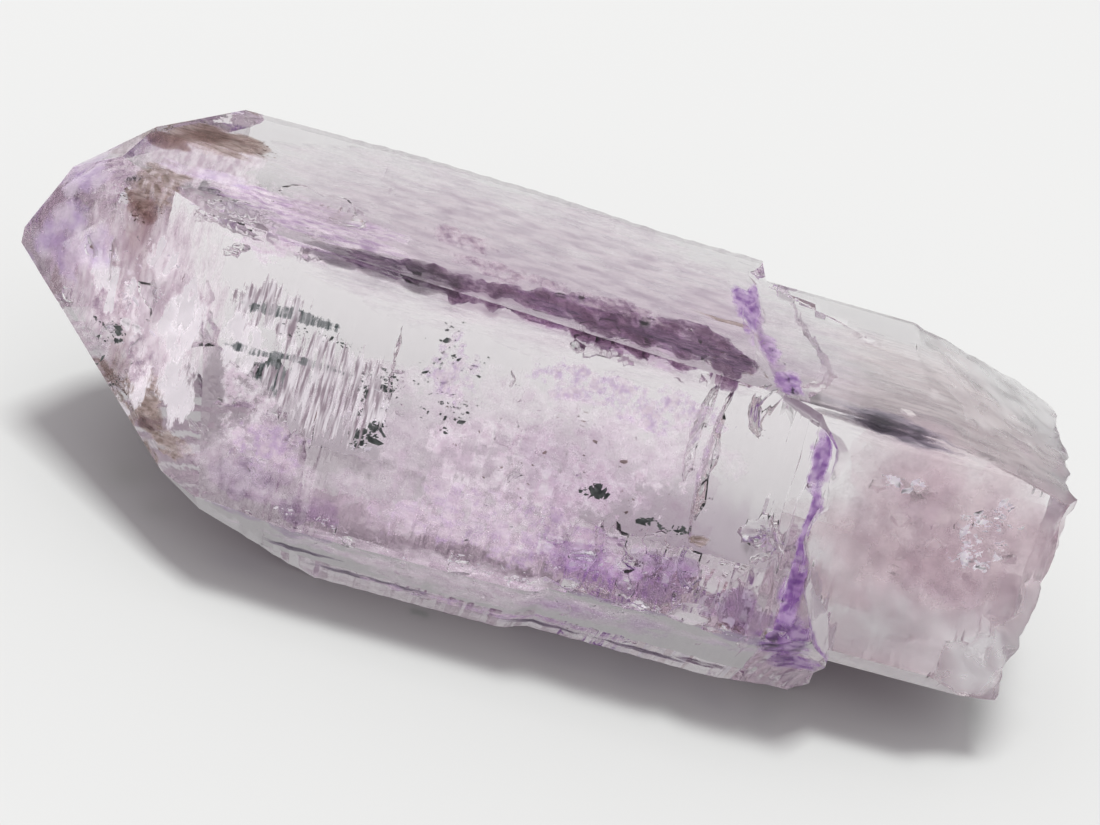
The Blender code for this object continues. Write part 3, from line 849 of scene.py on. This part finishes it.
# The veils' places and looks: where in the noise their cover starts and ends, and the most cover
VEIL_LOOKS = {
    "haze_veils": (
        HAZE_VEILS,
        dict(
            colours=((0.70, 0.60, 0.68), (0.90, 0.84, 0.88)),
            reach=(0.72, 1.14), top=0.6, per_mm=0.9,
        ),
    ),
    "point_veils": (
        POINT_VEILS,
        dict(
            colours=((0.62, 0.52, 0.58), (0.90, 0.85, 0.87)),
            reach=(0.62, 1.04), top=0.72, per_mm=0.8, stretch=UPRIGHT, through=0.2,
        ),
    ),
    "tip_veils": (
        TIP_VEILS,
        dict(
            colours=((0.62, 0.50, 0.72), (0.86, 0.79, 0.88)),
            reach=(0.66, 1.06), top=0.75, per_mm=0.6,
        ),
    ),
    "top_veils": (
        TOP_VEILS,
        dict(
            colours=((0.50, 0.43, 0.49), (0.72, 0.66, 0.69)),
            reach=(0.52, 1.10), top=0.70, per_mm=0.7, stretch=DRAWN, through=0.4,
        ),
    ),
    "milky_veils": (
        MILK_VEILS,
        dict(colours=(PINK, WHITE), reach=(0.86, 1.02), top=0.75, per_mm=1.4),
    ),
    "shard_veils": (
        SHARD_VEILS,
        dict(
            colours=(WHITE, WHITE),
            reach=(0.80, 0.92), top=0.92, per_mm=0.8, stretch=UPRIGHT, through=0.1,
        ),
    ),
    # Painted shade under the comb's white lines: dark green-grey sheets
    "comb_shades": (
        COMB_PAINTED_SHADES,
        dict(
            colours=((0.05, 0.07, 0.07), (0.30, 0.32, 0.32)),
            reach=(0.76, 0.90), top=0.9, per_mm=0.9, stretch=ACROSS,
        ),
    ),
    "feather_veils": (
        FEATHER_VEILS,
        dict(
            colours=((0.46, 0.34, 0.50), (0.86, 0.80, 0.84)),
            reach=(0.80, 0.98), top=0.8, per_mm=1.2, stretch=ALONG,
        ),
    ),
    "comb_veils": (
        COMB_VEILS,
        dict(
            colours=((0.40, 0.33, 0.37), WHITE),
            reach=(0.84, 0.92), top=0.9, per_mm=0.8, stretch=ACROSS, through=0.1,
        ),
    ),
    "stem_veils": (
        STEM_VEILS,
        dict(
            colours=((0.47, 0.39, 0.41), (0.68, 0.59, 0.60)),
            reach=(0.5, 1.1), top=0.55, per_mm=0.6,
        ),
    ),
    "stem_top_veils": (
        STEM_TOP_VEILS,
        dict(
            colours=((0.52, 0.46, 0.46), (0.78, 0.73, 0.71)),
            reach=(0.54, 1.1), top=0.6, per_mm=0.6, stretch=LINES,
        ),
    ),
    "mauve_veils": (
        MAUVE_VEILS,
        dict(colours=(LILAC, PINK), reach=(0.80, 1.0), top=0.6, per_mm=1.6),
    ),
    "plum_veils": (
        PLUM_VEILS,
        dict(
            colours=((0.26, 0.17, 0.25), (0.56, 0.46, 0.52)),
            reach=(0.80, 1.04), top=0.72, per_mm=1.5,
        ),
    ),
    "violet_veils": (
        VIOLET_VEILS,
        dict(
            colours=((0.26, 0.11, 0.38), (0.60, 0.45, 0.68)),
            reach=(0.56, 0.92), top=0.85, per_mm=1.4,
        ),
    ),
    "smoky_veils": (
        BROWN_VEILS,
        dict(
            colours=((0.22, 0.16, 0.13), (0.50, 0.41, 0.37)),
            reach=(0.70, 0.98), top=0.8, per_mm=1.4, stretch=ALONG,
        ),
    ),
    "slate_veils": (
        SLATE_VEILS,
        dict(
            colours=((0.14, 0.13, 0.16), (0.34, 0.31, 0.36)),
            reach=(0.60, 0.90), top=0.85, per_mm=0.8, stretch=ALONG,
        ),
    ),
    "dark_veils": (
        DARK_VEILS,
        dict(
            colours=((0.05, 0.02, 0.06), (0.20, 0.12, 0.20)),
            reach=(0.80, 0.98), top=0.85, per_mm=1.8, stretch=ALONG,
        ),
    ),
}


def build_veils(tree):
    seed = 0.0
    for name, (rows, look) in VEIL_LOOKS.items():
        bm = bmesh.new()
        for x, y, z, turn, pitch, roll, length, width, bend in rows:
            seed += 3.1
            turned = frame_of(Vector((x, y, z)), turn, pitch=pitch, roll=roll)
            half = (length, width)
            patch(bm, tree, turned, half, VEIL_THICKNESS, seed, bend=bend, ripple=0.05, wave=1.1)
        veil = finish_piece(name, bm, veil_material(name[:-1], **look))
        veil.visible_shadow = False


# Flecks: place, turn, pitch, roll, half sizes, how many, their size
DARK_FLECKS = (
    (-7.4, -5.0, 2.2, 60, 0, 10, 1.2, 1.7, 200, 0.05),
    (-11.9, -5.2, 1.9, 60, 0, 0, 0.45, 0.40, 110, 0.16),
    (2.8, -6.1, 1.1, 60, 0, 0, 0.9, 0.3, 60, 0.07),
    (6.3, -6.5, 0.5, 60, 0, 0, 1.2, 0.3, 80, 0.06),
    (-4.5, -4.6, 3.9, 60, 8, 10, 1.8, 2.6, 190, 0.04),
    (-11.2, -4.6, 4.0, 60, 0, 0, 3.0, 0.3, 60, 0.035),
    (-18.4, -3.0, 0.0, 60, 20, 0, 1.4, 2.6, 70, 0.05),
    (20.6, -4.2, 1.2, 60, 0, 0, 1.2, 0.4, 12, 0.05),
    (-7.6, -5.8, 1.3, 60, 0, 0, 0.9, 1.5, 150, 0.06),
    (-19.3, -3.2, 0.7, 66, -27, 0, 0.9, 0.8, 50, 0.07),
)
# White specks, and painted glints: near-white flecks, lit as if level and casting no shadow, stand
# for sparkles of light on the stem, the point and the lower edge
WHITE_SPECKS_AND_PAINTED_GLINTS = (
    (16.1, -3.7, 4.0, 60, 0, 0, 1.0, 0.8, 70, 0.08),
    (20.6, -4.3, 2.8, 60, 0, 0, 1.7, 2.1, 190, 0.08),
    (0.5, -8.9, -2.3, 90, 0, 0, 11.5, 0.35, 240, 0.045),
    (-7.5, -5.8, 1.4, 60, 0, 0, 1.0, 1.5, 110, 0.05),
    (-18.2, -2.8, 2.2, 66, -27, 0, 2.6, 3.2, 200, 0.06),
    (4.6, -7.1, -1.2, 60, 0, 0, 6.6, 1.7, 220, 0.04),
    (-1.0, -8.6, -3.4, 120, 0, 0, 9.0, 0.6, 120, 0.05),
)
BROWN_FLECKS = (
    (-17.6, 4.2, 6.1, 0, -4, 0, 3.0, 1.4, 160, 0.04),
    (-18.7, -0.4, 5.7, 30, 0, 0, 1.5, 1.1, 110, 0.045),
    (-17.6, -3.6, -1.6, 60, 20, 10, 1.2, 2.4, 150, 0.05),
    (1.0, -5.2, 1.6, 60, 0, 0, 6.0, 2.4, 120, 0.03),
    (7.4, -2.0, 6.3, 0, 0, 0, 1.6, 0.8, 90, 0.05),
)
# The flecks' places, their two colours and their roughness
FLECK_LOOKS = {
    "dark_flecks": (DARK_FLECKS, ((0.01, 0.015, 0.015), (0.10, 0.12, 0.11)), 0.3),
    "smoky_flecks": (BROWN_FLECKS, ((0.13, 0.09, 0.08), (0.40, 0.32, 0.30)), 0.4),
    # Near-white flecks: white specks, and painted glints that stand for sparkles of light
    "white_flecks": (WHITE_SPECKS_AND_PAINTED_GLINTS, ((0.86, 0.80, 0.88), (0.99, 0.98, 0.98)), 0.3),
}


def build_flecks(tree):
    rng = random.Random(11)
    for name, (rows, colours, roughness) in FLECK_LOOKS.items():
        bm = bmesh.new()
        for x, y, z, turn, pitch, roll, along, across, count, size in rows:
            turned = frame_of(Vector((x, y, z)), turn, pitch=pitch, roll=roll)
            scatter(bm, rng, tree, turned, (along, across), count, size)
        flecks = finish_piece(name, bm, fleck_material(name[:-1], colours, roughness))
        flecks.visible_shadow = False


# Open cracks: place, turn, spin, pitch, roll, half sizes, bend
CRACKS = (
    (-15.0, -1.2, 5.9, 0, 20, 20, -20, 1.6, 0.9, 0.2),
    (-12.2, 1.4, 5.4, 0, -15, -18, 14, 2.4, 1.1, 0.3),
    (7.0, -5.0, 3.4, 60, 0, 78, 0, 1.0, 3.4, 0.5),
    (8.6, -3.8, 5.6, 60, 30, 60, 10, 0.9, 0.9, 0.2),
    (6.2, -4.6, 4.2, 60, 20, 66, 20, 0.8, 1.9, 0.3),
    (-9.6, -5.2, 2.0, 60, 0, 84, 0, 0.4, 2.6, 0.1),
    (-7.0, -4.6, 3.4, 60, 4, 82, 0, 0.3, 1.8, 0.1),
)
# Groups of small cracks: place, turn, half sizes along, across, deep, how many, their size, lean
CRACK_GROUPS = (
    (-19.6, -1.6, 2.6, 60, 2.4, 3.4, 1.0, 7, 0.75, 45),
    (-16.6, -3.2, 1.0, 60, 1.8, 3.6, 1.0, 7, 0.80, 50),
    (-12.2, 0.3, 5.6, 0, 4.6, 1.8, 0.5, 14, 0.42, 24),
    (-12.0, -6.0, -1.6, 60, 2.4, 2.2, 0.6, 12, 0.45, 40),
    (4.5, -6.8, -1.4, 60, 7.0, 1.4, 0.6, 12, 0.50, 45),
    (10.5, -6.6, 0.6, 60, 1.6, 2.6, 0.8, 8, 0.60, 60),
    (3.0, -2.0, 5.8, 0, 6.0, 1.0, 0.5, 8, 0.45, 45),
    (0.0, -7.6, -4.6, 120, 9.0, 0.8, 0.5, 10, 0.40, 40),
    (0.0, -5.2, 1.6, 60, 6.0, 2.2, 0.9, 7, 0.40, 45),
)
# Glints, tiny flat cracks: place, turn, pitch, roll, half sizes, how many, their size
GLINTS = (
    (-12.2, 0.3, 5.8, 0, 8, -12, 4.8, 1.9, 190, 0.05),
    (-7.4, -5.1, 2.0, 60, 0, 10, 1.4, 1.9, 160, 0.05),
    (4.6, -6.9, -1.2, 60, 4, 6, 6.6, 1.7, 180, 0.05),
    (-11.8, -6.0, -0.8, 60, 10, 0, 2.2, 3.0, 160, 0.05),
    (0.0, -4.9, 2.2, 60, -6, 4, 7.0, 2.4, 150, 0.035),
    (-18.6, -2.4, 2.0, 60, 30, 0, 2.6, 3.4, 160, 0.06),
    (19.5, -3.9, 1.7, 60, 5, 0, 3.4, 2.4, 70, 0.07),
    (4.5, -1.4, 6.3, 0, 6, 0, 3.8, 1.4, 110, 0.045),
)
CRACK_WIDTH = 0.03


def add_cracks(bm, tree):
    """Cracks are hollows in the crystal, so their faces look inwards."""
    crack = bmesh.new()
    for number, (x, y, z, turn, spin, pitch, roll, along, across, bend) in enumerate(CRACKS):
        turned = frame_of(Vector((x, y, z)), turn, spin=spin, pitch=pitch, roll=roll)
        patch(
            crack, tree, turned, (along, across), CRACK_WIDTH, 4.7 * number, bend=bend,
            ripple=0.04, grid=(12, 40),
        )
    rng = random.Random(3)
    for x, y, z, turn, along, across, deep, count, size, lean in CRACK_GROUPS:
        group = frame_of(Vector((x, y, z)), turn)
        for _ in range(count):
            far = Vector((rng.gauss(0, 0.5), rng.gauss(0, 0.5), rng.gauss(0, 0.5)))
            place = group @ Vector((far.x * along, far.y * across, far.z * deep))
            spin = rng.uniform(0, 180)
            pitch = rng.gauss(0, lean)
            roll = rng.gauss(0, lean)
            turned = frame_of(place, turn, spin=spin, pitch=pitch, roll=roll)
            reach = size * rng.lognormvariate(-0.15, 0.4)
            half = (reach, reach * rng.uniform(0.45, 1.0))
            bend = reach * rng.uniform(-0.45, 0.45)
            wave = rng.uniform(0.25, 0.6)
            patch(
                crack, tree, turned, half, CRACK_WIDTH, rng.uniform(0, 99), jag=0.7, bend=bend,
                ripple=0.02, wave=wave, grid=(6, 20),
            )
    for x, y, z, turn, pitch, roll, along, across, count, size in GLINTS:
        turned = frame_of(Vector((x, y, z)), turn, pitch=pitch, roll=roll)
        scatter(crack, rng, tree, turned, (along, across), count, size, flat=0.12, tumble=0.7)
    bmesh.ops.reverse_faces(crack, faces=crack.faces)
    mesh = bpy.data.meshes.new("cracks")
    crack.to_mesh(mesh)
    crack.free()
    bm.from_mesh(mesh)
    bpy.data.meshes.remove(mesh)


# Floor, light and camera


def build_floor():
    bm = bmesh.new()
    bmesh.ops.create_grid(bm, x_segments=1, y_segments=1, size=FLOOR_HALF)
    mesh = bpy.data.meshes.new("floor")
    bm.to_mesh(mesh)
    bm.free()
    floor = link("floor", mesh)
    floor.location.z = -FLOOR_GAP * MM
    material, tree, shader = new_material("paper_white")
    shader.inputs["Base Color"].default_value = (*FLOOR_COLOUR, 1.0)
    shader.inputs["Roughness"].default_value = 0.9
    shader.inputs["Specular IOR Level"].default_value = 0.0
    mesh.materials.append(material)


def build_light():
    """A soft sky that is brighter overhead, and one lamp over the crystal."""
    world = bpy.data.worlds.new("studio")
    bpy.context.scene.world = world
    world.use_nodes = True
    tree = world.node_tree
    coords = add_node(tree, "ShaderNodeTexCoord")
    split = add_node(tree, "ShaderNodeSeparateXYZ")
    rise = add_node(tree, "ShaderNodeMapRange")
    rise.inputs["From Min"].default_value = 0.0
    rise.inputs["To Min"].default_value = HORIZON_LIGHT
    rise.inputs["To Max"].default_value = ZENITH_LIGHT
    tree.links.new(coords.outputs["Generated"], split.inputs["Vector"])
    tree.links.new(split.outputs["Z"], rise.inputs["Value"])
    tree.links.new(rise.outputs["Result"], tree.nodes["Background"].inputs["Strength"])
    tree.nodes["Background"].inputs["Color"].default_value = (1.0, 1.0, 1.0, 1.0)
    data = bpy.data.lights.new("lamp", "AREA")
    data.size = LAMP_SIZE
    data.energy = LAMP_POWER
    lamp = bpy.data.objects.new("lamp", data)
    bpy.context.scene.collection.objects.link(lamp)
    lamp.location = LAMP_PLACE
    lamp.rotation_euler = (-Vector(LAMP_PLACE)).to_track_quat("-Z", "Y").to_euler()
    lamp.visible_transmission = False
    lamp.visible_glossy = False


def build_camera():
    azimuth, elevation, roll = (
        math.radians(a) for a in (CAMERA_AZIMUTH, CAMERA_ELEVATION, CAMERA_ROLL)
    )
    look = Vector(
        (
            math.sin(azimuth) * math.cos(elevation),
            math.cos(azimuth) * math.cos(elevation),
            -math.sin(elevation),
        )
    )
    data = bpy.data.cameras.new("camera")
    data.lens = CAMERA_LENS
    data.sensor_width = SENSOR_WIDTH
    data.clip_start = 0.001
    data.clip_end = 10.0
    camera = bpy.data.objects.new("camera", data)
    bpy.context.scene.collection.objects.link(camera)
    camera.location = at(*(CAMERA_AIM - look * CAMERA_DISTANCE))
    turn = look.to_track_quat("-Z", "Y").to_matrix() @ Matrix.Rotation(roll, 3, "Z")
    camera.rotation_euler = turn.to_euler()
    bpy.context.scene.camera = camera


def set_look():
    scene = bpy.context.scene
    scene.view_settings.view_transform = "Standard"
    scene.cycles.max_bounces = 16
    scene.cycles.transmission_bounces = 16
    scene.cycles.glossy_bounces = 16
    scene.cycles.diffuse_bounces = 2
    scene.cycles.transparent_max_bounces = 32
    scene.cycles.caustics_reflective = False
    scene.cycles.caustics_refractive = False
    scene.cycles.use_light_tree = False


build_camera()
set_look()
build_floor()
build_light()
skin_tree = build_skin()
build_zones(skin_tree)
build_veils(skin_tree)
build_flecks(skin_tree)
